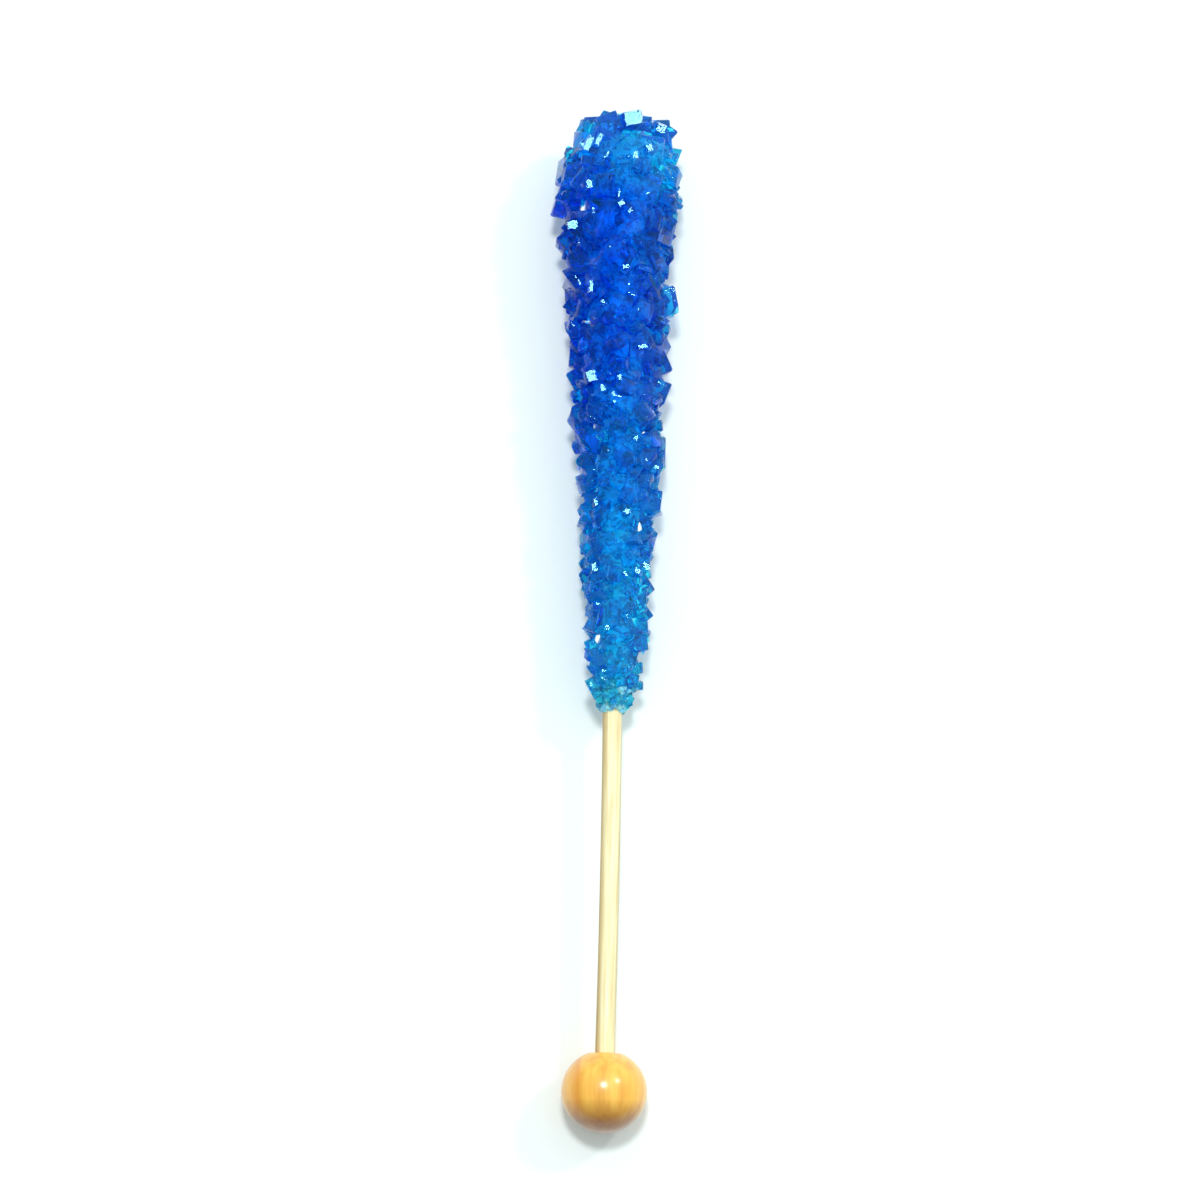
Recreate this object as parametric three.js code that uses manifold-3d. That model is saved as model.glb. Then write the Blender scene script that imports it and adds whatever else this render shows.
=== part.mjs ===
// A rock candy stick lying on its side: sugar crystals grown round one end of a wooden dowel,
// and a turned wooden ball pushed on the other end.
// Millimetres, +Z up. The dowel runs along Y with the ball at -Y and the candy at +Y.
// Everything is first built round the dowel's axis, which starts at the ball's far end at y = 0.
import * as THREE from 'three';
import { mergeVertices } from 'three/addons/utils/BufferGeometryUtils.js';
import Module from 'manifold-3d';

const wasm = await Module();
wasm.setup();

// The whole, and the dowel
const TOTAL_LENGTH = 165;
const DOWEL_DIAMETER = 3.1;
const DOWEL_CHAMFER = 0.25;
const DOWEL_SIDES = 32;
const FIT_GAP = 0.3;

// The ball: a little flatter along the dowel than across it
const BALL_DIAMETER = 13.6;
const BALL_LENGTH = 12.6;
const BALL_FACE_RADIUS = 2.6;
const BALL_BORE_DEPTH = 8;
const BALL_SIDES = 36;
const BALL_STEPS = 12;

// The candy: its foot is where the dowel comes out, its tip is the far end
const CANDY_LENGTH = 97.5;
const DOWEL_SHORT_OF_TIP = 9;
const CANDY_GIRTH = [
  { at: 0.0, radius: 2.7 },
  { at: 0.04, radius: 3.7 },
  { at: 0.12, radius: 4.9 },
  { at: 0.3, radius: 5.8 },
  { at: 0.5, radius: 7.0 },
  { at: 0.7, radius: 8.0 },
  { at: 0.88, radius: 9.8 },
  { at: 0.95, radius: 8.6 },
  { at: 1.0, radius: 6.6 },
];
const SWAY_NEAR_FOOT = 0.35;
const SWAY_NEAR_TIP = 0.9;

// The crystals: blocks of sugar, leaning like a pushed-over brick, coarser towards the tip
const CRYSTAL_AT_FOOT = 3.2;
const CRYSTAL_AT_TIP = 5.6;
const CRYSTAL_SPACING = 1.03;
const CRYSTAL_LEAN = THREE.MathUtils.degToRad(13);
const CRYSTAL_TILT = 0.85;
const SEED = 11;

// How they vary, as shares of a crystal's size from least to most
const SIZE_SPREAD = [0.78, 1.22];
const WIDE_SPREAD = [0.8, 1.1];
const LONG_SPREAD = [0.85, 1.25];
const DEEP_SPREAD = [0.9, 1.3];
const DEPTH_UNDER_OUTLINE = [0.5, 0.72];
const PINCH_SPREAD = [0.25, 0.5];
const NUDGE_SPREAD = [-0.3, 0.3];

// Up to the first share a crystal is a plain block, up to the second it has a ridge, then a blunt point
const PLAIN_SHARE = 0.55;
const RIDGED_SHARE = 0.85;

// Where crystals sit along the candy, as shares of its length
const FIRST_CRYSTAL_AT = 0.01;
const LAST_CRYSTAL_AT = 0.975;

// The candy under its crystals
const CORE_SIDES = 16;
const CORE_STEPS = 12;
const CORE_INSET = 0.3;
const CORE_LEAST_RADIUS = 2.3;
const CORE_FROM = 0.004;
const CORE_TO = 0.975;

// Crystals that stand out past their neighbours on the two sides of the candy.
// along: up from the candy's foot; across: from the dowel's axis; turn: degrees, seen from above
const JUTTING_TILT = 0.25;
const JUTTING_RISE = 0.15;
const JUTTING_CRYSTALS = [
  { along: 94.0, across: -4.9, wide: 4.6, long: 6.0, deep: 6.0, turn: 3 },
  { along: 94.4, across: 0.2, wide: 6.0, long: 5.4, deep: 6.5, turn: -4 },
  { along: 93.6, across: 4.3, wide: 4.8, long: 6.4, deep: 6.0, turn: 5 },
  { along: 88.8, across: -8.3, wide: 4.0, long: 4.6, deep: 5.0, turn: -8 },
  { along: 76.5, across: -8.7, wide: 3.3, long: 3.3, deep: 3.6, turn: 42 },
  { along: 66.6, across: 6.7, wide: 4.2, long: 4.8, deep: 3.4, turn: 12 },
  { along: 56.2, across: 5.7, wide: 3.9, long: 3.6, deep: 4.2, turn: 24 },
  { along: 52.4, across: 5.5, wide: 3.8, long: 3.8, deep: 4.4, turn: -20 },
  { along: 46.4, across: -5.4, wide: 4.0, long: 5.0, deep: 4.4, turn: 12 },
  { along: 40.6, across: 4.7, wide: 4.0, long: 6.2, deep: 4.0, turn: -2 },
  { along: 36.6, across: -4.5, wide: 3.1, long: 3.0, deep: 3.4, turn: 16 },
  { along: 33.4, across: 4.9, wide: 3.9, long: 3.5, deep: 3.6, turn: -5 },
  { along: 30.8, across: -4.3, wide: 3.3, long: 3.0, deep: 3.2, turn: -14 },
];

// How it lies: on a small flat under the ball and on the lowest crystals near the tip
const BALL_FLAT_DEPTH = 0.15;
const CANDY_AXIS_HEIGHT = 9.3;
const CANDY_REST_AT = 0.86;
const GROUND_DEPTH = 20;

// Points nearer than this are one point
const WELD = 1e-4;

// Colours
const BIRCH = 0xf2dfa6;
const VARNISHED_WOOD = 0xe0a64e;
const BLUE_SUGAR = 0x0a55c4;

const CANDY_FOOT = TOTAL_LENGTH - CANDY_LENGTH;
const BALL_FACE_ANGLE = Math.asin(BALL_FACE_RADIUS / (BALL_DIAMETER / 2));
const BALL_CENTRE = BALL_LENGTH / (1 + Math.cos(BALL_FACE_ANGLE));
const BALL_AXIS_HEIGHT = BALL_DIAMETER / 2 - BALL_FLAT_DEPTH;
const REST_SPAN = CANDY_FOOT + CANDY_REST_AT * CANDY_LENGTH - BALL_CENTRE;
const PITCH = Math.atan2(CANDY_AXIS_HEIGHT - BALL_AXIS_HEIGHT, REST_SPAN);

// Turns what was built round the axis so that it lies on the ground, z = 0
const LYING = new THREE.Matrix4()
  .makeTranslation(0, 0, BALL_AXIS_HEIGHT)
  .multiply(new THREE.Matrix4().makeRotationX(PITCH))
  .multiply(new THREE.Matrix4().makeTranslation(0, -BALL_CENTRE, 0));

// A repeatable run of numbers from 0 to 1
function randomRun(seed) {
  let state = seed;
  return () => {
    state = (Math.imul(state, 1664525) + 1013904223) >>> 0;
    return state / 4294967296;
  };
}

const random = randomRun(SEED);

function between(low, high) {
  return low + (high - low) * random();
}

function oneOf(spread) {
  return between(spread[0], spread[1]);
}

// Radius of the candy's outline; t runs from 0 at the foot to 1 at the tip
function girthAt(t) {
  const next = Math.max(1, CANDY_GIRTH.findIndex((station) => station.at >= t));
  const before = CANDY_GIRTH[next - 1];
  const after = CANDY_GIRTH[next];
  const share = THREE.MathUtils.smoothstep(t, before.at, after.at);
  return THREE.MathUtils.lerp(before.radius, after.radius, share);
}

// The candy wanders off the dowel's axis, one way low down and the other way higher up
function swayAt(t) {
  const reach = t < 0.5 ? SWAY_NEAR_FOOT : SWAY_NEAR_TIP;
  return reach * Math.sin(2 * Math.PI * t);
}

function crystalSizeAt(t) {
  return THREE.MathUtils.lerp(CRYSTAL_AT_FOOT, CRYSTAL_AT_TIP, Math.pow(t, 1.2));
}

function toSolid(geometry) {
  geometry.deleteAttribute('normal');
  geometry.deleteAttribute('uv');
  const merged = mergeVertices(geometry, WELD);
  const mesh = new wasm.Mesh({
    numProp: 3,
    vertProperties: new Float32Array(merged.attributes.position.array),
    triVerts: new Uint32Array(merged.index.array),
  });
  return new wasm.Manifold(mesh);
}

function toGeometry(solid) {
  const mesh = solid.getMesh();
  const geometry = new THREE.BufferGeometry();
  geometry.setAttribute('position', new THREE.BufferAttribute(mesh.vertProperties, 3));
  geometry.setIndex(new THREE.BufferAttribute(mesh.triVerts, 1));
  return geometry;
}

// Everything below the ground, to be cut away
function groundSolid() {
  const ground = new THREE.BoxGeometry(3 * BALL_DIAMETER, 3 * TOTAL_LENGTH, GROUND_DEPTH);
  ground.translate(0, 0, -GROUND_DEPTH / 2);
  return toSolid(ground);
}

function dowelGeometry(radius, start, end, chamfer) {
  const outline = [
    new THREE.Vector2(0, start),
    new THREE.Vector2(radius - chamfer, start),
    new THREE.Vector2(radius, start + chamfer),
    new THREE.Vector2(radius, end - chamfer),
    new THREE.Vector2(radius - chamfer, end),
    new THREE.Vector2(0, end),
  ];
  return new THREE.LatheGeometry(outline, DOWEL_SIDES);
}

function buildStick() {
  const start = BALL_LENGTH - BALL_BORE_DEPTH + FIT_GAP;
  const end = TOTAL_LENGTH - DOWEL_SHORT_OF_TIP;
  const dowel = dowelGeometry(DOWEL_DIAMETER / 2, start, end, DOWEL_CHAMFER);
  dowel.applyMatrix4(LYING);
  return toGeometry(toSolid(dowel));
}

// Half an oblate round from the far pole to the flat face, then down the bore and back to the axis
function ballOutline() {
  const boreRadius = DOWEL_DIAMETER / 2 + FIT_GAP;
  const outline = [];
  for (let step = 0; step <= BALL_STEPS; step += 1) {
    const angle = ((Math.PI - BALL_FACE_ANGLE) * step) / BALL_STEPS;
    const across = (BALL_DIAMETER / 2) * Math.sin(angle);
    outline.push(new THREE.Vector2(across, BALL_CENTRE * (1 - Math.cos(angle))));
  }
  outline.push(new THREE.Vector2(boreRadius, BALL_LENGTH));
  outline.push(new THREE.Vector2(boreRadius, BALL_LENGTH - BALL_BORE_DEPTH));
  outline.push(new THREE.Vector2(0, BALL_LENGTH - BALL_BORE_DEPTH));
  return outline;
}

function buildBall(ground) {
  const ball = new THREE.LatheGeometry(ballOutline(), BALL_SIDES);
  ball.applyMatrix4(LYING);
  return toGeometry(toSolid(ball).subtract(ground));
}

// A block whose outer end may be pinched to a ridge or a blunt point, and which leans over
function crystalBlock(wide, long, deep, pinchAcross, pinchAlong) {
  const block = new THREE.BoxGeometry(wide, long, deep);
  const corners = block.attributes.position;
  for (let i = 0; i < corners.count; i += 1) {
    const outer = corners.getZ(i) > 0;
    const x = corners.getX(i) * (outer ? pinchAcross : 1);
    const y = corners.getY(i) * (outer ? pinchAlong : 1);
    corners.setXY(i, x + corners.getZ(i) * Math.tan(CRYSTAL_LEAN), y);
  }
  return block;
}

function juttingCrystal(spec) {
  const t = spec.along / CANDY_LENGTH;
  const block = crystalBlock(spec.wide, spec.long, spec.deep, 1, 1);
  block.rotateX(between(-JUTTING_TILT, JUTTING_TILT));
  block.rotateY(between(-JUTTING_TILT, JUTTING_TILT));
  block.rotateZ(THREE.MathUtils.degToRad(spec.turn));
  const rise = between(-JUTTING_RISE, JUTTING_RISE) * girthAt(t);
  block.translate(spec.across, CANDY_FOOT + spec.along, rise);
  return block;
}

// One of three habits: a plain block, a block with a ridge, a block with a blunt point
function scatteredCrystal(t, around) {
  const size = crystalSizeAt(t) * oneOf(SIZE_SPREAD);
  const habit = random();
  const pinchAcross = habit < PLAIN_SHARE ? 1 : oneOf(PINCH_SPREAD);
  const pinchAlong = habit < RIDGED_SHARE ? 1 : oneOf(PINCH_SPREAD);
  const wide = size * oneOf(WIDE_SPREAD);
  const long = size * oneOf(LONG_SPREAD);
  const deep = size * oneOf(DEEP_SPREAD);
  const block = crystalBlock(wide, long, deep, pinchAcross, pinchAlong);
  block.rotateZ(between(0, 2 * Math.PI));
  block.rotateX(between(-CRYSTAL_TILT, CRYSTAL_TILT));
  block.rotateY(between(-CRYSTAL_TILT, CRYSTAL_TILT));
  block.translate(0, 0, girthAt(t) - size * oneOf(DEPTH_UNDER_OUTLINE));
  block.rotateY(around);
  block.translate(swayAt(t), CANDY_FOOT + t * CANDY_LENGTH, 0);
  return block;
}

// Rings of crystals from foot to tip, each ring turned a little from the last
function sideCrystals() {
  const crystals = [];
  let along = 0.6 * CRYSTAL_AT_FOOT;
  while (along < CANDY_LENGTH - 0.45 * CRYSTAL_AT_TIP) {
    const t = along / CANDY_LENGTH;
    const size = crystalSizeAt(t);
    const ringRadius = Math.max(girthAt(t) - 0.4 * size, 0.6 * size);
    const count = Math.round((2 * Math.PI * ringRadius) / (size * CRYSTAL_SPACING));
    const start = between(0, 2 * Math.PI);
    for (let i = 0; i < count; i += 1) {
      const around = start + ((i + oneOf(NUDGE_SPREAD)) * 2 * Math.PI) / count;
      const nudged = along + oneOf(NUDGE_SPREAD) * size;
      const limited = THREE.MathUtils.clamp(nudged / CANDY_LENGTH, FIRST_CRYSTAL_AT, LAST_CRYSTAL_AT);
      crystals.push(scatteredCrystal(limited, around));
    }
    along += size * CRYSTAL_SPACING;
  }
  return crystals;
}

// The candy under its crystals: the outline drawn in by part of a crystal's size
function candyCore() {
  const outline = [new THREE.Vector2(0, CANDY_FOOT + CORE_FROM * CANDY_LENGTH)];
  for (let step = 0; step <= CORE_STEPS; step += 1) {
    const t = THREE.MathUtils.lerp(CORE_FROM, CORE_TO, step / CORE_STEPS);
    const radius = Math.max(girthAt(t) - CORE_INSET * crystalSizeAt(t), CORE_LEAST_RADIUS);
    outline.push(new THREE.Vector2(radius, CANDY_FOOT + t * CANDY_LENGTH));
  }
  outline.push(new THREE.Vector2(0, outline[outline.length - 1].y));
  const core = new THREE.LatheGeometry(outline, CORE_SIDES);
  const points = core.attributes.position;
  for (let i = 0; i < points.count; i += 1) {
    const t = (points.getY(i) - CANDY_FOOT) / CANDY_LENGTH;
    points.setX(i, points.getX(i) + swayAt(THREE.MathUtils.clamp(t, 0, 1)));
  }
  return core;
}

function dowelBore() {
  const radius = DOWEL_DIAMETER / 2 + FIT_GAP;
  const end = TOTAL_LENGTH - DOWEL_SHORT_OF_TIP + FIT_GAP;
  return dowelGeometry(radius, CANDY_FOOT - BALL_LENGTH, end, FIT_GAP / 2);
}

function buildCandy(ground) {
  const crystals = [...JUTTING_CRYSTALS.map(juttingCrystal), ...sideCrystals()];
  let candy = toSolid(candyCore().applyMatrix4(LYING));
  for (const crystal of crystals) {
    candy = candy.add(toSolid(crystal.applyMatrix4(LYING)));
  }
  candy = candy.subtract(toSolid(dowelBore().applyMatrix4(LYING)));
  return toGeometry(candy.subtract(ground));
}

function named(name, geometry, colour, roughness) {
  const material = new THREE.MeshStandardMaterial({ color: colour, roughness, metalness: 0 });
  material.flatShading = true;
  const mesh = new THREE.Mesh(geometry, material);
  mesh.name = name;
  return mesh;
}

function buildRockCandyStick() {
  const ground = groundSolid();
  const group = new THREE.Group();
  group.name = 'rock_candy_stick';
  group.add(named('stick', buildStick(), BIRCH, 0.7));
  group.add(named('ball', buildBall(ground), VARNISHED_WOOD, 0.3));
  group.add(named('candy', buildCandy(ground), BLUE_SUGAR, 0.15));
  const centre = new THREE.Box3().setFromObject(group).getCenter(new THREE.Vector3());
  for (const mesh of group.children) {
    mesh.geometry.translate(-centre.x, -centre.y, 0);
  }
  return group;
}

export default buildRockCandyStick();
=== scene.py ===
"""The looks of a rock candy stick lying on its side: blue sugar crystals, a dowel and a turned ball.

Blender 4.5, metres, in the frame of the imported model. The dowel runs along +Y from the ball to the candy.
Lengths along the dowel are counted from the candy's foot, where the dowel comes out of it, and t is the
share of the candy's length from its foot to its tip.
"""

import math

import bmesh
import bpy
import numpy as np
from mathutils import Matrix, Quaternion, Vector, noise


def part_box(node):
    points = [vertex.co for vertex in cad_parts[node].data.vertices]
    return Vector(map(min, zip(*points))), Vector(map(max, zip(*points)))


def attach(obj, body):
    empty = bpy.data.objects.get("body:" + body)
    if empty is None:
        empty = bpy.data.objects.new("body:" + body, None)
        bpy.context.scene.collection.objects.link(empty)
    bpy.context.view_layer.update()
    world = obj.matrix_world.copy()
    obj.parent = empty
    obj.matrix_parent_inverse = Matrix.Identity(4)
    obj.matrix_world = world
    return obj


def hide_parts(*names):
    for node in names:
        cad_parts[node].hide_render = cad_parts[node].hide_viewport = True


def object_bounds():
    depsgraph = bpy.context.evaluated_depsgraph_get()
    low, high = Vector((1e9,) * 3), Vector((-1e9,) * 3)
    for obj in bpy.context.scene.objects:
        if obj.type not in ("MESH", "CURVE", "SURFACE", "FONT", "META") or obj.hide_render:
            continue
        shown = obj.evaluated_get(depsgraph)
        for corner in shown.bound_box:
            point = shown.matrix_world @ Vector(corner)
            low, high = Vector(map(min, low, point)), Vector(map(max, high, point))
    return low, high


MM = 0.001

# The whole, as the part's own solids have it
TOTAL_LENGTH = 165.0 * MM
CANDY_LENGTH = 97.5 * MM
DOWEL_SHORT_OF_TIP = 9.0 * MM
DOWEL_RADIUS = 1.55 * MM
BALL_RADIUS = 6.8 * MM
BALL_LENGTH = 12.6 * MM
BALL_FACE_RADIUS = 2.6 * MM
BALL_BORE_DEPTH = 8.0 * MM
GLUE_GAP = 0.03 * MM

# Radius of the candy's outline from foot to tip, and how far its middle wanders off the dowel
GIRTH_AT = [0.0, 0.04, 0.12, 0.3, 0.5, 0.7, 0.88, 0.95, 1.0]
GIRTH = [radius * MM for radius in (2.7, 3.7, 4.9, 5.8, 7.0, 8.0, 9.8, 8.6, 6.6)]
SWAY_NEAR_FOOT = 0.35 * MM
SWAY_NEAR_TIP = 0.9 * MM

# How crystals differ, as shares of their size from least to most
CRYSTAL_LEAN = math.tan(math.radians(13))
SIZE_SPREAD = (0.78, 1.22)
WIDE_SPREAD = (0.8, 1.1)
LONG_SPREAD = (0.85, 1.25)
DEEP_SPREAD = (0.9, 1.3)
PINCH_SPREAD = (0.25, 0.5)
NUDGE_SPREAD = (-0.3, 0.3)

# Up to the first share a crystal is a plain block, up to the second it has a ridge, then a blunt point
PLAIN_SHARE = 0.55
RIDGED_SHARE = 0.85

# Where crystals sit along the candy, as t
FIRST_CRYSTAL_AT = 0.01
LAST_CRYSTAL_AT = 0.975

# Rings of crystals, in crystal sizes: how far the first and last lie from the candy's ends, and how far
# under the outline the radius lies that says how many crystals a ring has
FIRST_RING_FROM_FOOT = 0.6
LAST_RING_FROM_TIP = 0.45
RING_UNDER_OUTLINE = 0.4
RING_LEAST_RADIUS = 0.6

# Kinds of ringed crystals. size is at the foot and at the tip, and growth is the power of t by which it
# changes between them. spacing and depth are in sizes. depth is how far a crystal's middle lies under the
# outline, from least to most, and sink is added to it. tilt is in radians at the foot and at the tip.
# The coarse ones are the part's own, so their seed and draws are the same.
COARSE = {
    "size": (3.2 * MM, 5.6 * MM),
    "growth": 1.2,
    "spacing": 1.03,
    "depth": (0.5, 0.72),
    "sink": 0.4 * MM,
    "tilt": (0.85, 0.85),
    "seed": 11,
}
MEDIUM = {
    "size": (2.4 * MM, 3.8 * MM),
    "growth": 0.9,
    "spacing": 1.1,
    "depth": (0.3, 0.72),
    "sink": 0.0,
    "tilt": (0.8, 0.35),
    "seed": 4,
}
FINE = {
    "size": (1.2 * MM, 1.9 * MM),
    "growth": 0.9,
    "spacing": 2.4,
    "depth": (0.0, 0.7),
    "sink": 0.0,
    "tilt": (0.85, 0.85),
    "seed": 8,
}

# Crystals over the blunt tip: how far off the axis and short of the tip, their size, and tilt in radians
TIP_COUNT = 34
TIP_REACH = 6.6 * MM
TIP_SHORT = (2.6 * MM, 3.6 * MM)
TIP_SIZE = (2.2 * MM, 3.8 * MM)
TIP_TILT = 0.45
TIP_SEED = 17

# Tiny crystals on the upper side with a nearly level face: their sides, their place as t and in radians
# from the top, how far they rise over the outline in medium sizes, and their tilt in degrees
SPARKLE_COUNT = 60
SPARKLE_WIDE = (0.5 * MM, 1.1 * MM)
SPARKLE_LONG_SPREAD = (0.6, 1.6)
SPARKLE_TALL = 2.0 * MM
SPARKLE_ALONG = (0.04, 0.95)
SPARKLE_AROUND = 0.8
SPARKLE_RISE = (-0.2, 0.3)
SPARKLE_SUNK = 0.5 * MM
SPARKLE_TILT = 4
SPARKLE_SEED = 12

# Level faces lean a little towards the lamp, in degrees at the foot and at the tip
LEVEL_LEAN = (-3.2, 4.8)

# Frost where the dowel comes out of the candy: its crystals' size, where they lie along the dowel, how
# thick they lie on it, how far they stay under the candy's outline, and their tilt in radians
FROST_COUNT = 200
FROST_SIZE = (0.45 * MM, 1.0 * MM)
FROST_REACH = (-0.5 * MM, 3.6 * MM)
FROST_LAYER = 0.25 * MM
FROST_UNDER = 0.3 * MM
FROST_TILT = 1.2
FROST_SEED = 21

# Crystals that stand out past their neighbours. along and across say where, size is width, length and
# depth, all in mm; turn is in degrees, seen from above. Their tilt is in radians, and they rise or sink
# by a share of the candy's girth
JUTTING_TILT = 0.25
JUTTING_RISE = 0.15
JUTTING_CRYSTALS = [
    {"along": 94.0, "across": -4.9, "size": (4.6, 6.0, 6.0), "turn": 3},
    {"along": 94.4, "across": 0.2, "size": (6.0, 5.4, 6.5), "turn": -4},
    {"along": 93.6, "across": 4.3, "size": (4.8, 6.4, 6.0), "turn": 5},
    {"along": 88.8, "across": -8.3, "size": (4.0, 4.6, 5.0), "turn": -8},
    {"along": 76.5, "across": -8.7, "size": (3.3, 3.3, 3.6), "turn": 42},
    {"along": 66.6, "across": 6.7, "size": (4.2, 4.8, 3.4), "turn": 12},
    {"along": 56.2, "across": 5.7, "size": (3.9, 3.6, 4.2), "turn": 24},
    {"along": 52.4, "across": 5.5, "size": (3.8, 3.8, 4.4), "turn": -20},
    {"along": 46.4, "across": -5.4, "size": (4.0, 5.0, 4.4), "turn": 12},
    {"along": 40.6, "across": 4.7, "size": (4.0, 6.2, 4.0), "turn": -2},
    {"along": 36.6, "across": -4.5, "size": (3.1, 3.0, 3.4), "turn": 16},
    {"along": 33.4, "across": 4.9, "size": (3.9, 3.5, 3.6), "turn": -5},
    {"along": 30.8, "across": -4.3, "size": (3.3, 3.0, 3.2), "turn": -14},
]

# Crystals with a level face on top, which mirrors the lamp. under is how far the block's middle lies
# below the outline. All in mm, turn in degrees
LEVEL_CRYSTALS = [
    {"along": 95.6, "across": 0.6, "size": (3.2, 2.6, 6.0), "turn": 12, "under": 2.2},
    {"along": 94.6, "across": 5.4, "size": (1.6, 1.8, 4.0), "turn": -18, "under": 1.0},
    {"along": 84.0, "across": -5.9, "size": (1.1, 3.0, 3.0), "turn": 4, "under": 0.1},
    {"along": 91.4, "across": -6.2, "size": (1.1, 2.8, 3.0), "turn": -26, "under": 0.1},
    {"along": 91.8, "across": -4.6, "size": (0.9, 2.4, 3.0), "turn": -22, "under": 0.1},
    {"along": 90.0, "across": 3.5, "size": (1.5, 1.4, 3.0), "turn": 20, "under": 0.1},
    {"along": 80.4, "across": -0.7, "size": (1.1, 0.9, 3.0), "turn": 35, "under": 0.1},
    {"along": 67.4, "across": -5.2, "size": (0.9, 2.0, 3.0), "turn": 3, "under": 0.1},
    {"along": 57.6, "across": 3.1, "size": (1.8, 0.7, 3.0), "turn": 12, "under": 0.1},
    {"along": 52.8, "across": -4.9, "size": (1.7, 2.0, 3.0), "turn": 18, "under": 0.1},
    {"along": 43.0, "across": 2.6, "size": (0.6, 1.3, 3.0), "turn": -30, "under": 0.1},
    {"along": 32.4, "across": -3.6, "size": (1.0, 1.4, 3.0), "turn": 10, "under": 0.1},
    {"along": 20.5, "across": 1.2, "size": (0.7, 0.9, 3.0), "turn": 40, "under": 0.1},
    {"along": 12.0, "across": -1.5, "size": (0.6, 0.8, 3.0), "turn": 15, "under": 0.1},
]

# A chamfered block has one point for each of a corner's three faces
POINTS_OF_BLOCK = 24

# How the blocks' edges are cut away: seed, least and most usual cut, and how many edges have a broad cut
# instead. Cuts are shares of the block's sides
COARSE_EDGES = (5, (0.03, 0.07), 0.12)
MEDIUM_EDGES = (6, (0.03, 0.08), 0.15)
FINE_EDGES = (7, (0.04, 0.1), 0.15)
FROST_EDGES = (9, (0.05, 0.12), 0.1)
BROAD_CUT = (0.15, 0.4)

# The clear body that fills the gaps between crystals, and the denser core inside it. inset is how far it
# lies under the outline, in coarse sizes, and changes to tip_inset near the tip. tip_shift is how far its
# middle lies to the +X side there. last is where it ends, as t. Near the tip is between the two t given
FILLER = {"inset": 0.42, "tip_inset": 0.42, "last": 0.965, "tip_shift": 0.0}
CORE = {"inset": 0.8, "tip_inset": 0.68, "last": 0.952, "tip_shift": 1.3 * MM}
NEAR_TIP = (0.82, 0.92)
BODY_FIRST = 0.004
BODY_LEAST = 2.6 * MM
BODY_RINGS = 60
BODY_SIDES = 48

# Edges that turn by more than this, in degrees, stay sharp. A face is level if its normal is this upright
CRYSTAL_EDGE = 50
TURNED_EDGE = 40
LEVEL_NORMAL = 0.99

# Wooden dowel and ball: steps along, sides around, and the dowel's small unevenness and bow
DOWEL_STEPS = 120
DOWEL_SIDES = 48
DOWEL_UNEVEN = 0.012
DOWEL_UNEVEN_SCALE = 60
DOWEL_BOW = 0.15 * MM
BALL_STEPS = 40
BALL_SIDES = 72

# Colours, and how strongly a metre of sugar absorbs light
WHITE = (1.0, 1.0, 1.0)
BLACK = (0.0, 0.0, 0.0)
# Pale sugar at the candy's ends, and also the painted light on its +X side
PALE_SUGAR_AND_PAINTED_LIGHT = (0.6, 1.0, 1.0)
DYE_COLOUR = (0.0, 0.87, 0.99, 1.0)
DYE_DENSITY = 1300.0
LAMP_COLOUR = (0.92, 1.0, 0.99)
SKY_LOW = (0.34, 0.4, 0.4, 1.0)
SKY_HIGH = (0.92, 1.07, 1.06, 1.0)
SKY_BRIGHT_TOWARDS = (0.25, 0.5, 0.83)

# Floor and lamps: where a lamp is, seen from the object, and its distance, width and power in watts
FLOOR_REACH = 1.5
FLOOR_UNDER = 0.05 * MM
KEY_LAMP = {"towards": (-0.02, 0.2, 0.98), "distance": 0.8, "size": 0.12, "power": 3.1}
SIDE_LAMP = {"towards": (0.57, 0.39, 0.72), "distance": 0.8, "size": 0.08, "power": 1.2}

# View: angles in degrees, lens in mm. The point looked at lies off the stick's middle to its -X side and
# towards its tip, and above the floor
CAMERA_ELEVATION = 80.0
CAMERA_DISTANCE = 0.6
CAMERA_LENS = 111.8
CAMERA_ROLL = -1.3
LOOK_ASIDE = 2.4 * MM
LOOK_TIPWARDS = 2.4 * MM
LOOK_HEIGHT = 8.0 * MM
MOST_BOUNCES = 32
GLOSSY_BOUNCES = 16


class Draw:
    """The same run of random numbers as the part's solids use."""

    FACTOR = 1664525
    STEP = 1013904223
    RANGE = 2**32

    def __init__(self, seed):
        self.state = seed

    def between(self, low, high):
        self.state = (self.state * self.FACTOR + self.STEP) % self.RANGE
        return low + (high - low) * self.state / self.RANGE


def turned(axis, angle):
    return Matrix.Rotation(angle, 4, axis)


def turned_degrees(axis, angle):
    return turned(axis, math.radians(angle))


def moved(x, y, z):
    return Matrix.Translation((x, y, z))


def from_foot_to_tip(span, t):
    """Between two values, one at the candy's foot and one at its tip."""
    return span[0] + (span[1] - span[0]) * t


def girth_at(t):
    """Radius of the candy's outline."""
    after = 1
    while GIRTH_AT[after] < t:
        after += 1
    share = (t - GIRTH_AT[after - 1]) / (GIRTH_AT[after] - GIRTH_AT[after - 1])
    share = min(max(share, 0.0), 1.0)
    share = share * share * (3 - 2 * share)
    return GIRTH[after - 1] + (GIRTH[after] - GIRTH[after - 1]) * share


def sway_at(t):
    """How far the candy's middle wanders off the dowel's axis."""
    reach = SWAY_NEAR_FOOT if t < 0.5 else SWAY_NEAR_TIP
    return reach * math.sin(2 * math.pi * t)


def size_at(kind, t):
    """Size of a kind's crystals, before they differ."""
    return from_foot_to_tip(kind["size"], t ** kind["growth"])


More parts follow.
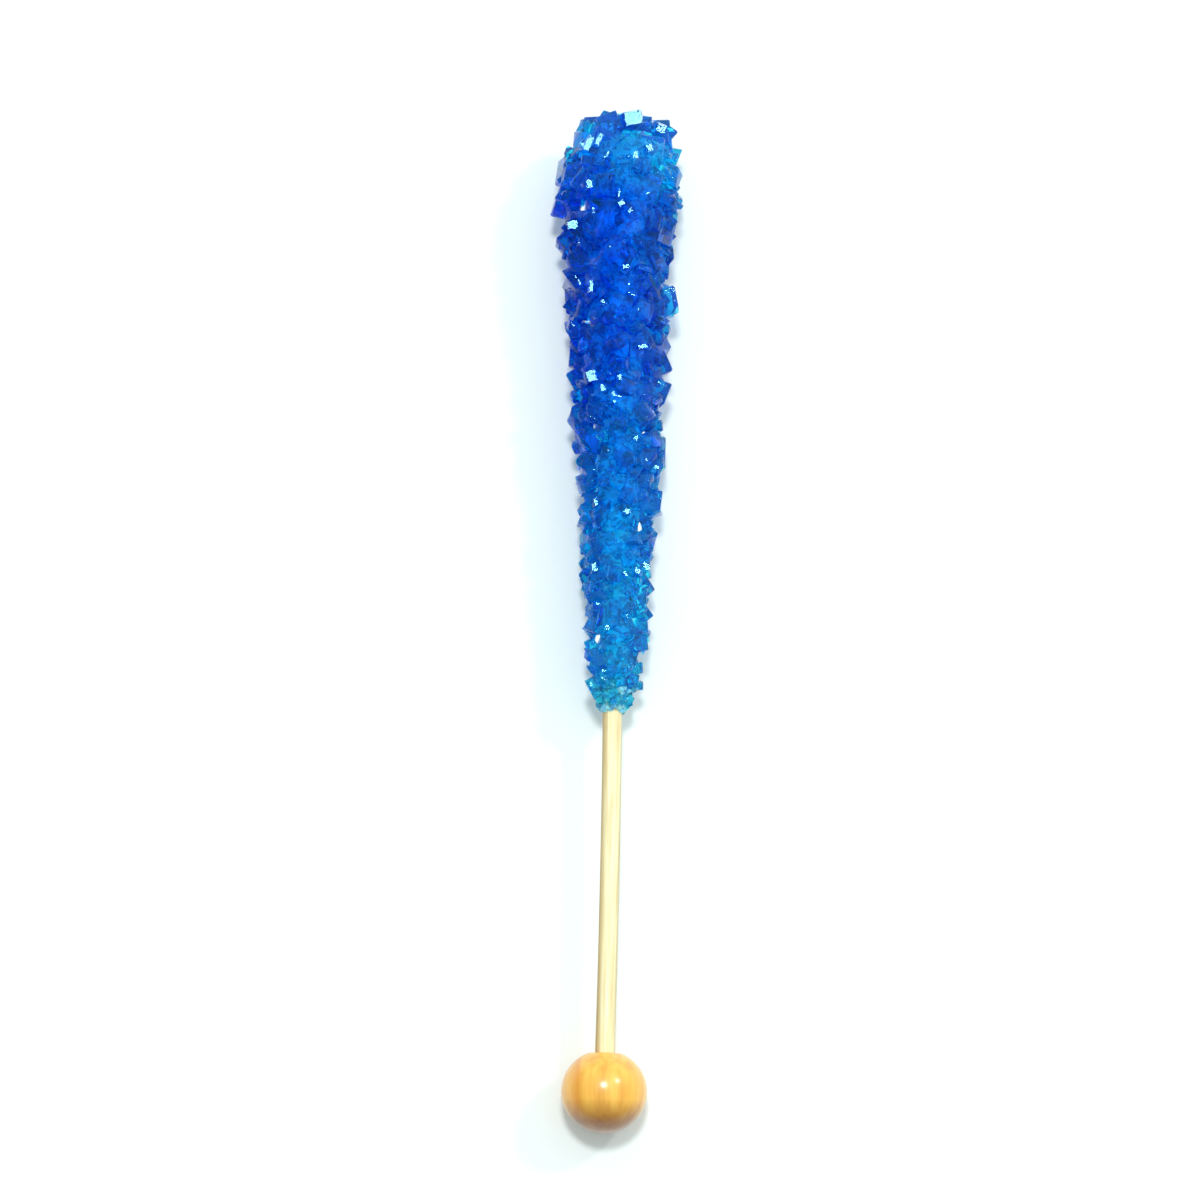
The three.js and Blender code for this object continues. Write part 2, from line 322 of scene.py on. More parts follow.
def dowel_space():
    """Takes a point given from the candy's foot, along the dowel, into the model's frame."""
    low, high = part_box("stick")
    radius = (high.x - low.x) / 2
    start = Vector((low.x + radius, low.y, low.z + radius))
    end = Vector((low.x + radius, high.y, high.z - radius))
    direction = (end - start).normalized()
    foot = end - direction * (CANDY_LENGTH - DOWEL_SHORT_OF_TIP)
    pitch = math.atan2(direction.z, direction.y)
    return Matrix.Translation(foot) @ turned("X", pitch)


def block_corners(size, matrix, pinch=(1.0, 1.0)):
    """Eight corners of a leaning block, its outer end pinched, in the order x, y, z low to high."""
    corners = []
    for side_x in (-0.5, 0.5):
        for side_y in (-0.5, 0.5):
            for side_z in (-0.5, 0.5):
                outer = side_z > 0
                z = side_z * size[2]
                x = side_x * size[0] * (pinch[0] if outer else 1.0) + z * CRYSTAL_LEAN
                y = side_y * size[1] * (pinch[1] if outer else 1.0)
                corners.append(matrix @ Vector((x, y, z)))
    return corners


def jutting_crystals(draw):
    crystals = []
    for spec in JUTTING_CRYSTALS:
        along = spec["along"] * MM
        tilt_x = turned("X", draw.between(-JUTTING_TILT, JUTTING_TILT))
        tilt_y = turned("Y", draw.between(-JUTTING_TILT, JUTTING_TILT))
        rise = draw.between(-JUTTING_RISE, JUTTING_RISE) * girth_at(along / CANDY_LENGTH)
        place = moved(spec["across"] * MM, along, rise)
        size = [side * MM for side in spec["size"]]
        crystals.append(block_corners(size, place @ turned_degrees("Z", spec["turn"]) @ tilt_y @ tilt_x))
    return crystals


def ringed_crystal(draw, kind, t, around):
    """One crystal of a ring, at an angle around the dowel."""
    size = size_at(kind, t) * draw.between(*SIZE_SPREAD)
    habit = draw.between(0, 1)
    pinch_x = 1.0 if habit < PLAIN_SHARE else draw.between(*PINCH_SPREAD)
    pinch_y = 1.0 if habit < RIDGED_SHARE else draw.between(*PINCH_SPREAD)
    wide = size * draw.between(*WIDE_SPREAD)
    long = size * draw.between(*LONG_SPREAD)
    deep = size * draw.between(*DEEP_SPREAD)
    spin = turned("Z", draw.between(0, 2 * math.pi))
    tilt = from_foot_to_tip(kind["tilt"], t)
    tilt_x = turned("X", tilt * draw.between(-1, 1))
    tilt_y = turned("Y", tilt * draw.between(-1, 1))
    out = moved(0, 0, girth_at(t) - kind["sink"] - size * draw.between(*kind["depth"]))
    place = moved(sway_at(t), t * CANDY_LENGTH, 0) @ turned("Y", around)
    return block_corners((wide, long, deep), place @ out @ tilt_y @ tilt_x @ spin, (pinch_x, pinch_y))


def ringed_crystals(draw, kind):
    """Rings of crystals from foot to tip, each ring turned a little from the last."""
    crystals = []
    spacing = kind["spacing"]
    along = FIRST_RING_FROM_FOOT * size_at(kind, 0)
    last = CANDY_LENGTH - LAST_RING_FROM_TIP * size_at(kind, 1)
    while along < last:
        t = along / CANDY_LENGTH
        size = size_at(kind, t)
        ring_radius = max(girth_at(t) - RING_UNDER_OUTLINE * size, RING_LEAST_RADIUS * size)
        count = round(2 * math.pi * ring_radius / (size * spacing))
        start = draw.between(0, 2 * math.pi)
        for i in range(count):
            around = start + (i + draw.between(*NUDGE_SPREAD)) * 2 * math.pi / count
            nudged = (along + draw.between(*NUDGE_SPREAD) * size) / CANDY_LENGTH
            place = min(max(nudged, FIRST_CRYSTAL_AT), LAST_CRYSTAL_AT)
            crystals.append(ringed_crystal(draw, kind, place, around))
        along += size * spacing
    return crystals


def tip_crystals(draw):
    """Crystals over the candy's blunt end."""
    crystals = []
    for _ in range(TIP_COUNT):
        reach = TIP_REACH * math.sqrt(draw.between(0, 1))
        around = draw.between(0, 2 * math.pi)
        along = CANDY_LENGTH - draw.between(*TIP_SHORT)
        place = moved(reach * math.sin(around), along, reach * math.cos(around))
        size = draw.between(*TIP_SIZE)
        sides = [size * draw.between(*WIDE_SPREAD) for _ in range(3)]
        tilt_x = turned("X", draw.between(-TIP_TILT, TIP_TILT))
        tilt_z = turned("Z", draw.between(-TIP_TILT, TIP_TILT))
        crystals.append(block_corners(sides, place @ tilt_x @ tilt_z))
    return crystals


def level_crystals():
    """Small crystals let into the top of the candy, each with one face that mirrors the lamp."""
    crystals = []
    for spec in LEVEL_CRYSTALS:
        along = spec["along"] * MM
        across = spec["across"] * MM
        t = along / CANDY_LENGTH
        rise = math.sqrt(max(girth_at(t) ** 2 - (across - sway_at(t)) ** 2, 0.0))
        size = [side * MM for side in spec["size"]]
        place = moved(across, along, rise - spec["under"] * MM)
        lean = turned_degrees("X", from_foot_to_tip(LEVEL_LEAN, t))
        crystals.append(block_corners(size, place @ lean @ turned_degrees("Z", spec["turn"])))
    return crystals


def sparkling_crystals(draw):
    """Tiny crystals on top of the candy whose faces lie nearly level."""
    crystals = []
    for _ in range(SPARKLE_COUNT):
        t = draw.between(*SPARKLE_ALONG)
        around = turned("Y", draw.between(-SPARKLE_AROUND, SPARKLE_AROUND))
        at = around @ Vector((0, 0, girth_at(t) + draw.between(*SPARKLE_RISE) * size_at(MEDIUM, t)))
        wide = draw.between(*SPARKLE_WIDE)
        size = (wide, wide * draw.between(*SPARKLE_LONG_SPREAD), SPARKLE_TALL)
        lean = from_foot_to_tip(LEVEL_LEAN, t) + draw.between(-SPARKLE_TILT, SPARKLE_TILT)
        tilt = turned_degrees("X", lean) @ turned_degrees("Y", draw.between(-SPARKLE_TILT, SPARKLE_TILT))
        place = moved(sway_at(t) + at.x, t * CANDY_LENGTH, at.z - SPARKLE_SUNK)
        crystals.append(block_corners(size, place @ tilt @ turned("Z", draw.between(0, math.pi))))
    return crystals


def frost_crystals(draw):
    """Tiny crystals clinging to the dowel and to the candy's foot."""
    crystals = []
    for _ in range(FROST_COUNT):
        along = draw.between(*FROST_REACH)
        size = draw.between(*FROST_SIZE)
        t = max(along, 0.0) / CANDY_LENGTH
        reach = DOWEL_RADIUS if along < 0 else girth_at(t) - FROST_UNDER
        out = draw.between(DOWEL_RADIUS, max(reach, DOWEL_RADIUS + FROST_LAYER))
        spin = turned("Z", draw.between(0, 2 * math.pi))
        tilt = turned("X", draw.between(-FROST_TILT, FROST_TILT))
        around = turned("Y", draw.between(0, 2 * math.pi))
        place = moved(0, along, 0) @ around @ moved(0, 0, out)
        crystals.append(block_corners((size, size, size), place @ tilt @ spin))
    return crystals


def chamfered_faces():
    """Faces of one chamfered block over its points: 6 sides, 12 edges and 8 corners."""

    def point(axis, side, first, second):
        return ((axis * 2 + side) * 2 + first) * 2 + second

    faces = []
    for axis in range(3):
        for side in (0, 1):
            face = [point(axis, side, *at) for at in ((0, 0), (1, 0), (1, 1), (0, 1))]
            faces.append(face if side else face[::-1])
    for axis in range(3):
        other = (axis + 1) % 3
        for a in (0, 1):
            for b in (0, 1):
                face = [point(axis, a, b, 0), point(axis, a, b, 1)]
                face += [point(other, b, 1, a), point(other, b, 0, a)]
                faces.append(face if (a + b) % 2 else face[::-1])
    for x in (0, 1):
        for y in (0, 1):
            for z in (0, 1):
                face = [point(0, x, y, z), point(1, y, z, x), point(2, z, x, y)]
                faces.append(face if (x + y + z) % 2 else face[::-1])
    return faces


def chamfered_points(corners, cuts):
    """Points of n chamfered blocks. corners is (n, 2, 2, 2, 3); cuts is (n, 3, 2, 2), one for each edge."""
    points = np.zeros((len(corners), POINTS_OF_BLOCK, 3))
    row = 0
    for axis in range(3):
        first, second = (axis + 1) % 3, (axis + 2) % 3
        for side in (0, 1):
            for b in (0, 1):
                for c in (0, 1):
                    at = [0, 0, 0]
                    at[axis], at[first], at[second] = side, b, c
                    along_first, along_second = list(at), list(at)
                    along_first[first] = 1 - b
                    along_second[second] = 1 - c
                    here = corners[:, at[0], at[1], at[2]]
                    to_first = corners[:, along_first[0], along_first[1], along_first[2]] - here
                    to_second = corners[:, along_second[0], along_second[1], along_second[2]] - here
                    cut_first = cuts[:, second, side, b][:, None]
                    cut_second = cuts[:, first, c, side][:, None]
                    points[:, row] = here + to_first * cut_first + to_second * cut_second
                    row += 1
    return points


def crystal_points(crystals, edges):
    """Points of chamfered blocks, one block a crystal, in the model's frame and not below the floor."""
    seed, usual_cut, broad_share = edges
    rng = np.random.default_rng(seed)
    corners = np.array([[DOWEL_SPACE @ corner for corner in crystal] for crystal in crystals])
    cuts = rng.uniform(*usual_cut, (len(crystals), 3, 2, 2))
    broad = rng.random(cuts.shape) < broad_share
    cuts = np.where(broad, rng.uniform(*BROAD_CUT, cuts.shape), cuts)
    points = chamfered_points(corners.reshape(-1, 2, 2, 2, 3), cuts)
    points[:, :, 2] = np.maximum(points[:, :, 2], 0.0)
    return points


def block_mesh(name, points):
    """A mesh of separate chamfered blocks."""
    pattern = chamfered_faces()
    starts = range(0, POINTS_OF_BLOCK * len(points), POINTS_OF_BLOCK)
    faces = [[start + i for i in face] for start in starts for face in pattern]
    mesh = bpy.data.meshes.new(name)
    mesh.from_pydata(points.reshape(-1, 3).tolist(), [], faces)
    return mesh


def linked_object(name, mesh):
    piece = bpy.data.objects.new(name, mesh)
    bpy.context.collection.objects.link(piece)
    return piece


def clear_groups(points):
    """Sorts crystals into groups in which no two touch."""
    low, high = points.min(axis=1), points.max(axis=1)
    groups = []
    for n in range(len(points)):
        for group in groups:
            near = np.array(group)
            touch = (low[near] <= high[n]).all(axis=1) & (high[near] >= low[n]).all(axis=1)
            if not touch.any():
                group.append(n)
                break
        else:
            groups.append([n])
    return groups


def grow_together(body, points):
    """Joins crystals to a body so that only their outside is left."""
    helpers = []
    for group in clear_groups(points):
        helper = linked_object("crystal_group", block_mesh("crystal_group", points[group]))
        helpers.append(helper)
        join = body.modifiers.new("join", "BOOLEAN")
        join.operation = "UNION"
        join.solver = "MANIFOLD"
        join.object = helper
    view_layer = bpy.context.evaluated_depsgraph_get()
    mesh = bpy.data.meshes.new_from_object(body.evaluated_get(view_layer))
    body.modifiers.clear()
    keep_largest_part(mesh)
    body.data = mesh
    for helper in helpers:
        bpy.data.objects.remove(helper)


def keep_largest_part(mesh):
    """Drops the loose crumbs and closed hollows that joining leaves."""
    work = bmesh.new()
    work.from_mesh(mesh)
    left = set(work.verts)
    parts = []
    while left:
        part = set()
        ahead = [left.pop()]
        while ahead:
            vertex = ahead.pop()
            part.add(vertex)
            for edge in vertex.link_edges:
                other = edge.other_vert(vertex)
                if other in left:
                    left.discard(other)
                    ahead.append(other)
        parts.append(part)
    parts.sort(key=len)
    small = [vertex for part in parts[:-1] for vertex in part]
    bmesh.ops.delete(work, geom=small, context="VERTS")
    work.to_mesh(mesh)
    work.free()


def shade_crystals(mesh):
    """Softens the chamfers. Level faces stay flat to their edges, like polished mirrors."""
    mesh.shade_smooth()
    mesh.set_sharp_from_angle(angle=math.radians(CRYSTAL_EDGE))
    edges = {tuple(sorted(edge.vertices)): edge for edge in mesh.edges}
    for face in mesh.polygons:
        if face.normal.z > LEVEL_NORMAL:
            for key in face.edge_keys:
                edges[tuple(sorted(key))].use_edge_sharp = True


def turned_body(name, outline, sides, material, offset=None):
    """A closed body turned round the dowel. outline is (radius, along) from end to end; 0 is a pole."""
    points, faces, rings = [], [], []
    for radius, along in outline:
        middle = offset(along) if offset else 0.0
        count = 1 if radius == 0 else sides
        rings.append((len(points), count))
        for side in range(count):
            angle = 2 * math.pi * side / sides
            at = DOWEL_SPACE @ Vector((middle + radius * math.sin(angle), along, radius * math.cos(angle)))
            points.append((at.x, at.y, max(at.z, 0.0)))
    for (start, count), (next_start, next_count) in zip(rings, rings[1:]):
        for side in range(sides):
            after = (side + 1) % sides
            face = [start + side % count, next_start + side % next_count, next_start + after % next_count]
            if count > 1:
                face.append(start + after)
            if next_count == 1:
                face.pop(2)
            faces.append(face)
    mesh = bpy.data.meshes.new(name)
    mesh.from_pydata(points, [], faces)
    mesh.materials.append(material)
    mesh.shade_smooth()
    mesh.set_sharp_from_angle(angle=math.radians(TURNED_EDGE))
    return linked_object(name, mesh)


class Shader:
    """A material's node tree, with short ways to add and join nodes."""

    # Sockets of a mix node that mixes colours
    FACTOR = 0
    FIRST = 6
    SECOND = 7
    MIXED = 2

    def __init__(self, name):
        self.material = bpy.data.materials.new(name)
        self.material.use_nodes = True
        self.tree = self.material.node_tree
        self.main = self.tree.nodes["Principled BSDF"]

    def node(self, kind, **inputs):
        node = self.tree.nodes.new(kind)
        for key, value in inputs.items():
            node.inputs[key.replace("_", " ")].default_value = value
        return node

    def join(self, source, target):
        self.tree.links.new(source, target)

    def set(self, key, value):
        self.main.inputs[key].default_value = value

    def colour(self, source):
        self.join(source, self.main.inputs["Base Color"])

    def ramp(self, factor, stops):
        """A colour for each factor; stops are (factor, colour)."""
        node = self.node("ShaderNodeValToRGB")
        elements = node.color_ramp.elements
        while len(elements) < len(stops):
            elements.new(0.5)
        for element, (position, colour) in zip(elements, stops):
            element.position = position
            element.color = (*colour, 1.0)
        self.join(factor, node.inputs["Fac"])
        return node.outputs["Color"]

    def mix(self, factor, first, second):
        """From the first colour to the second, which is a plain one."""
        node = self.node("ShaderNodeMix")
        node.data_type = "RGBA"
        self.join(factor, node.inputs[self.FACTOR])
        self.join(first, node.inputs[self.FIRST])
        node.inputs[self.SECOND].default_value = (*second, 1.0)
        return node.outputs[self.MIXED]

    def multiply(self, first, second):
        node = self.node("ShaderNodeMix")
        node.data_type = "RGBA"
        node.blend_type = "MULTIPLY"
        node.inputs[self.FACTOR].default_value = 1.0
        self.join(first, node.inputs[self.FIRST])
        self.join(second, node.inputs[self.SECOND])
        return node.outputs[self.MIXED]

    def noise(self, scale, stretch=(1.0, 1.0, 1.0), detail=3.0):
        """Noise over the object's own coordinates; scale is in lumps a metre."""
        place = self.node("ShaderNodeTexCoord")
        mapping = self.node("ShaderNodeMapping", Scale=stretch)
        texture = self.node("ShaderNodeTexNoise", Scale=scale, Detail=detail)
        self.join(place.outputs["Object"], mapping.inputs["Vector"])
        self.join(mapping.outputs["Vector"], texture.inputs["Vector"])
        return texture.outputs["Fac"]

    def share(self, axis, start, end, most=1.0):
        """From 0 to most as the object's own X, Y or Z goes from start to end."""
        place = self.node("ShaderNodeTexCoord")
        axes = self.node("ShaderNodeSeparateXYZ")
        span = self.node("ShaderNodeMapRange", From_Min=start, From_Max=end, To_Max=most)
        self.join(place.outputs["Object"], axes.inputs["Vector"])
        self.join(axes.outputs[axis], span.inputs["Value"])
        return span.outputs["Result"]

    def bump(self, height, strength, distance):
        node = self.node("ShaderNodeBump", Strength=strength, Distance=distance)
        self.join(height, node.inputs["Height"])
        self.join(node.outputs["Normal"], self.main.inputs["Normal"])


def grey(level):
    return (level, level, level)


def along_candy(shader, stops):
    """A colour that changes along the candy; stops count from its foot in mm."""
    foot = DOWEL_SPACE.translation.y
    share = shader.share("Y", foot, foot + CANDY_LENGTH)
    return shader.ramp(share, [(along * MM / CANDY_LENGTH, colour) for along, colour in stops])


def painted_light_side(shader, colour, paler, most):
    """Painted light: the colour, mixed with a paler one up to a share of most at the candy's +X side, as if
    lit from that side.
    """
    low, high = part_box("candy")
    return shader.mix(shader.share("X", (low.x + high.x) / 2, high.x, most), colour, paler)


def across_node(shader, node, stops):
    """A colour that changes across a node of the model; stops run from its lowest X to its highest."""
    low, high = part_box(node)
    return shader.ramp(shader.share("X", low.x, high.x), stops)


def crystal_material():
    """Clear sugar dyed blue, which looks deeper where it is thicker, and painted paler on the +X side as if
    lit from there.
    """
    shader = Shader("sugar_crystal")
    tint = along_candy(shader, [
        (0, (0.25, 1.0, 1.0)),
        (30, (0.05, 0.85, 1.0)),
        (44, (0.03, 0.75, 1.0)),
        (55, (0.01, 0.43, 1.0)),
        (82, (0.01, 0.45, 1.0)),
        (90, (0.15, 1.0, 1.0)),
        (97, (0.25, 1.0, 1.0)),
    ])
    # Painted light: the crystals' colour turns paler towards the candy's +X side.
    shader.colour(painted_light_side(shader, tint, (0.3, 1.0, 1.0), 0.7))
    shader.set("Transmission Weight", 0.95)
    shader.set("Roughness", 0.03)
    shader.set("IOR", 1.3)
    shader.set("Specular Tint", (0.3, 0.7, 1.0, 1.0))
    shader.bump(shader.noise(800.0), 0.02, 0.3 * MM)
    dye = shader.node("ShaderNodeVolumeAbsorption", Color=DYE_COLOUR, Density=DYE_DENSITY)
    shader.join(dye.outputs["Volume"], shader.tree.nodes["Material Output"].inputs["Volume"])
    return shader.material


def frost_material():
    """Pale, nearly opaque sugar."""
    shader = Shader("sugar_frost")
    shader.colour(shader.ramp(shader.noise(900.0), [(0.35, (0.02, 0.5, 1.0)), (0.6, (0.45, 0.95, 1.0))]))
    shader.set("Transmission Weight", 0.3)
    shader.set("Roughness", 0.12)
    shader.set("IOR", 1.45)
    shader.bump(shader.noise(2500.0), 0.4, 0.1 * MM)
    return shader.material


def core_material():
    """Grown-together sugar under the crystals, paler at both ends of the candy. Its brightest lumps are
    painted light standing in for light focused through the crystals, and its +X side is painted paler as if
    lit from there.
    """
    shader = Shader("sugar_core")
    # Mottled tone from deep blue to near white; the near-white spots are painted light, not the sugar's own
    # colour.
    lumps_and_painted_light = shader.ramp(shader.noise(420.0), [
        (0.36, (0.0, 0.15, 0.55)),
        (0.45, (0.02, 0.6, 0.95)),
        (0.52, (0.2, 1.0, 1.0)),
        (0.58, (0.9, 1.0, 1.0)),
    ])
    gaps = shader.ramp(shader.noise(1300.0, detail=1.0), [(0.4, (0.3, 0.4, 0.6)), (0.52, WHITE)])
    ends = along_candy(shader, [(0, grey(0.5)), (12, grey(0.35)), (36, BLACK), (80, BLACK), (91, grey(0.75))])
    # Painted light: the core turns paler towards the candy's +X side.
    colour = painted_light_side(shader, shader.mix(ends, lumps_and_painted_light, PALE_SUGAR_AND_PAINTED_LIGHT), PALE_SUGAR_AND_PAINTED_LIGHT, 0.8)
    shader.colour(shader.multiply(colour, gaps))
    shader.set("Roughness", 0.4)
    shader.bump(shader.noise(800.0), 0.6, 0.4 * MM)
    return shader.material


def dowel_material():
    """Plain pale birch with a faint grain along its length, and painted shade along its sides: browner at its
    -X edge, greyer at its +X edge.
    """
    shader = Shader("dowel_wood")
    grain = shader.noise(1800.0, (1.0, 0.04, 1.0), 5.0)
    wood = shader.ramp(grain, [
        (0.3, (0.8, 0.58, 0.3)),
        (0.55, (0.95, 0.8, 0.48)),
        (0.75, (0.98, 0.88, 0.6)),
    ])
    specks = shader.ramp(shader.noise(1500.0, (1.0, 0.3, 1.0)), [(0.7, WHITE), (0.8, (0.72, 0.6, 0.42))])
    # Painted shade: the dowel darkens to brown at its -X edge and to grey at its +X edge, where it turns away
    # from the light.
    edges = across_node(shader, "stick", [
        (0.0, (0.5, 0.38, 0.24)),
        (0.1, (0.66, 0.55, 0.4)),
        (0.3, WHITE),
        (0.9, WHITE),
        (1.0, (0.75, 0.74, 0.72)),
    ])
    shader.colour(shader.multiply(shader.multiply(wood, specks), edges))
    shader.set("Roughness", 0.55)
    shader.bump(grain, 0.25, 0.05 * MM)
    return shader.material


def ball_material():
    """Varnished golden wood, its grain along the dowel, with a redder streak and a darker far end that is
    partly end grain and partly painted shade.
    """
    shader = Shader("ball_wood")
    low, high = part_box("ball")
    grain = shader.noise(700.0, (1.0, 0.08, 1.0), 5.0)
    wood = shader.ramp(grain, [
        (0.3, (0.78, 0.33, 0.036)),
        (0.5, (0.93, 0.44, 0.056)),
        (0.7, (1.0, 0.52, 0.08)),
    ])
    redness = across_node(shader, "ball", [(0.1, BLACK), (0.17, grey(0.8)), (0.2, grey(0.9)), (0.24, BLACK)])
    wood = shader.mix(redness, wood, (0.8, 0.3, 0.03))
    # Darker towards the far pole: partly the end grain's own colour, partly painted shade on the side turned
    # from the light.
    end_grain_and_painted_shade = shader.ramp(shader.share("Y", low.y, high.y), [
        (0.0, (0.36, 0.25, 0.17)),
        (0.14, (0.36, 0.27, 0.2)),
        (0.42, WHITE),
    ])
    shader.colour(shader.multiply(wood, end_grain_and_painted_shade))
    shader.set("Roughness", 0.3)
    shader.set("Coat Weight", 0.6)
    shader.set("Coat Roughness", 0.2)
    shader.bump(grain, 0.15, 0.05 * MM)
    return shader.material


def floor_material():
    shader = Shader("floor_white")
    shader.colour(shader.ramp(shader.noise(30.0), [(0.3, grey(0.88)), (0.7, grey(0.9))]))
    shader.set("Roughness", 0.9)
    return shader.material


def nearness_to_tip(t):
    """0 over most of the candy, rising to 1 close to its tip."""
    return min(max((t - NEAR_TIP[0]) / (NEAR_TIP[1] - NEAR_TIP[0]), 0.0), 1.0)


def candy_body(name, kind, material):
    """The candy under its crystals: a closed turned body that wanders like them."""

    def middle(along):
        t = along / CANDY_LENGTH
        return sway_at(t) + kind["tip_shift"] * nearness_to_tip(t)

    outline = [(0, BODY_FIRST * CANDY_LENGTH)]
    for ring in range(BODY_RINGS + 1):
        t = BODY_FIRST + (kind["last"] - BODY_FIRST) * ring / BODY_RINGS
        inset = kind["inset"] + (kind["tip_inset"] - kind["inset"]) * nearness_to_tip(t)
        radius = girth_at(t) - inset * size_at(COARSE, t)
        outline.append((max(radius, BODY_LEAST - inset * MM), t * CANDY_LENGTH))
    outline.append((0, kind["last"] * CANDY_LENGTH))
    return turned_body(name, outline, BODY_SIDES, material, middle)


def build_crystals():
    """All the candy's crystals as one clear skin, joined where they meet."""
    draw = Draw(COARSE["seed"])
    coarse = jutting_crystals(draw) + ringed_crystals(draw, COARSE)
    medium = ringed_crystals(Draw(MEDIUM["seed"]), MEDIUM) + tip_crystals(Draw(TIP_SEED))
    fine = ringed_crystals(Draw(FINE["seed"]), FINE) + level_crystals()
    fine += sparkling_crystals(Draw(SPARKLE_SEED))
    points = np.concatenate([
        crystal_points(coarse, COARSE_EDGES),
        crystal_points(medium, MEDIUM_EDGES),
        crystal_points(fine, FINE_EDGES),
    ])
    body = candy_body("sugar_crystals", FILLER, crystal_material())
    grow_together(body, points)
    shade_crystals(body.data)
    return body


def build_frost():
    points = crystal_points(frost_crystals(Draw(FROST_SEED)), FROST_EDGES)
    mesh = block_mesh("crystals_frost", points)
    mesh.materials.append(frost_material())
    return linked_object("crystals_frost", mesh)


def build_dowel():
    start = CANDY_LENGTH - TOTAL_LENGTH + BALL_LENGTH - BALL_BORE_DEPTH
    end = CANDY_LENGTH - DOWEL_SHORT_OF_TIP
    outline = [(0, start)]
    for step in range(DOWEL_STEPS + 1):
        along = start + (end - start) * step / DOWEL_STEPS
        uneven = 1 + DOWEL_UNEVEN * noise.noise((along * DOWEL_UNEVEN_SCALE, 0, 0))
        outline.append((DOWEL_RADIUS * uneven, along))
    outline.append((0, end))
    return turned_body("dowel", outline, DOWEL_SIDES, dowel_material(), dowel_bow)


def dowel_bow(along):
    """The dowel isn't quite straight between the ball and the candy."""
    free = CANDY_LENGTH - TOTAL_LENGTH + BALL_LENGTH
    return DOWEL_BOW * math.sin(math.pi * along / free) if free < along < 0 else 0.0


def build_ball():
    """An oblate round, from its far pole to the flat face, then a little way down the bore."""
    face_angle = math.asin(BALL_FACE_RADIUS / BALL_RADIUS)
    centre = BALL_LENGTH / (1 + math.cos(face_angle))
    far_end = CANDY_LENGTH - TOTAL_LENGTH
    bore_radius = DOWEL_RADIUS + GLUE_GAP
    outline = [(0, far_end)]
    for step in range(1, BALL_STEPS + 1):
        angle = (math.pi - face_angle) * step / BALL_STEPS
        outline.append((BALL_RADIUS * math.sin(angle), far_end + centre * (1 - math.cos(angle))))
    outline.append((bore_radius, far_end + BALL_LENGTH))
    outline.append((bore_radius, far_end + BALL_LENGTH - BALL_BORE_DEPTH))
    outline.append((0, far_end + BALL_LENGTH - BALL_BORE_DEPTH))
    return turned_body("turned_ball", outline, BALL_SIDES, ball_material())


def stand_for(piece, node):
    """Hangs a piece under the root body and hides the node of the model that it stands for."""
    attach(piece, "root")
    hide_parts(node)


def build_floor():
    reach = FLOOR_REACH
    corners = [(-reach, -reach, 0), (reach, -reach, 0), (reach, reach, 0), (-reach, reach, 0)]
    mesh = bpy.data.meshes.new("floor")
    mesh.from_pydata(corners, [], [[0, 1, 2, 3]])
    mesh.materials.append(floor_material())
    floor = linked_object("floor", mesh)
    floor.location.z = -FLOOR_UNDER


def build_sky():
    """A pale sky, brighter behind the candy's tip."""
    world = bpy.data.worlds.new("studio")
    bpy.context.scene.world = world
    world.use_nodes = True
    tree = world.node_tree
    place = tree.nodes.new("ShaderNodeTexCoord")
    towards = tree.nodes.new("ShaderNodeVectorMath")
    towards.operation = "DOT_PRODUCT"
    towards.inputs[1].default_value = Vector(SKY_BRIGHT_TOWARDS).normalized()
    ramp = tree.nodes.new("ShaderNodeValToRGB")
    ramp.color_ramp.elements[0].color = SKY_LOW
    ramp.color_ramp.elements[1].color = SKY_HIGH
    tree.links.new(place.outputs["Generated"], towards.inputs[0])
    tree.links.new(towards.outputs["Value"], ramp.inputs["Fac"])
    tree.links.new(ramp.outputs["Color"], tree.nodes["Background"].inputs["Color"])


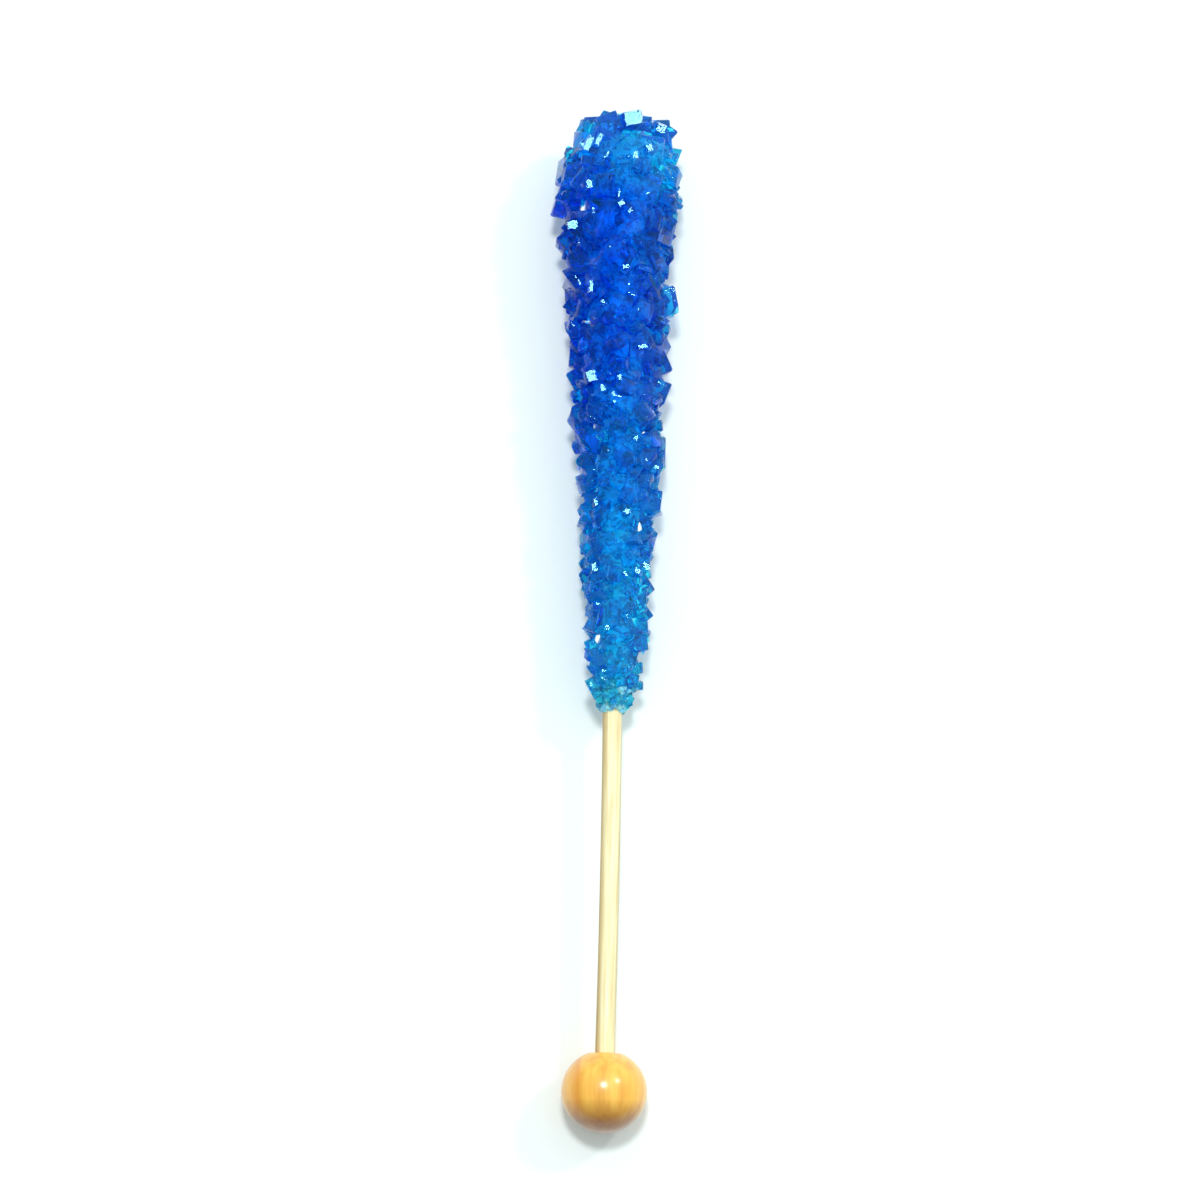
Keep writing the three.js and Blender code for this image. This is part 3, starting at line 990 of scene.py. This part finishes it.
def build_lamp(name, spec):
    """A round lamp that looks at the middle of the object."""
    data = bpy.data.lights.new(name, "AREA")
    data.shape = "DISK"
    data.size = spec["size"]
    data.energy = spec["power"]
    data.color = LAMP_COLOUR
    holder = bpy.data.objects.new(name, data)
    towards = Vector(spec["towards"]).normalized()
    holder.location = towards * spec["distance"]
    holder.rotation_euler = towards.to_track_quat("Z", "Y").to_euler()
    bpy.context.collection.objects.link(holder)


def build_camera():
    """Looks down at the middle of the stick from a little towards its ball."""
    stick_low, stick_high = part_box("stick")
    middle_x = (stick_low.x + stick_high.x) / 2
    middle_y = (CAD_LOW.y + CAD_HIGH.y) / 2
    target = Vector((middle_x - LOOK_ASIDE, middle_y + LOOK_TIPWARDS, LOOK_HEIGHT))
    elevation = math.radians(CAMERA_ELEVATION)
    back = Vector((0, -math.cos(elevation), math.sin(elevation)))
    data = bpy.data.cameras.new("camera")
    data.lens = CAMERA_LENS
    camera = bpy.data.objects.new("camera", data)
    camera.location = target + back * CAMERA_DISTANCE
    camera.rotation_mode = "QUATERNION"
    roll = Quaternion((0, 0, 1), math.radians(-CAMERA_ROLL))
    camera.rotation_quaternion = (-back).to_track_quat("-Z", "Y") @ roll
    bpy.context.collection.objects.link(camera)
    bpy.context.scene.camera = camera


def set_light_paths():
    """Plain colours, and enough bounces for light to pass through many crystals."""
    scene = bpy.context.scene
    scene.view_settings.view_transform = "Standard"
    scene.cycles.max_bounces = MOST_BOUNCES
    scene.cycles.transmission_bounces = MOST_BOUNCES
    scene.cycles.glossy_bounces = GLOSSY_BOUNCES


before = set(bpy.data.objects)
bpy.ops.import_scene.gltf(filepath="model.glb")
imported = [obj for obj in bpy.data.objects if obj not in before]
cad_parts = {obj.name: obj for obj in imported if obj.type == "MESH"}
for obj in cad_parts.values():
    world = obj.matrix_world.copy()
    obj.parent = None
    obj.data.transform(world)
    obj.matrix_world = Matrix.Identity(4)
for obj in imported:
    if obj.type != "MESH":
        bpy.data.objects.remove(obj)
CAD_LOW, CAD_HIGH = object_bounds()
DOWEL_SPACE = dowel_space()

build_camera()
build_sky()
build_lamp("key", KEY_LAMP)
build_lamp("side", SIDE_LAMP)
set_light_paths()
build_floor()
stand_for(build_crystals(), "candy")
stand_for(build_frost(), "candy")
stand_for(candy_body("candy_core", CORE, core_material()), "candy")
stand_for(build_dowel(), "stick")
stand_for(build_ball(), "ball")
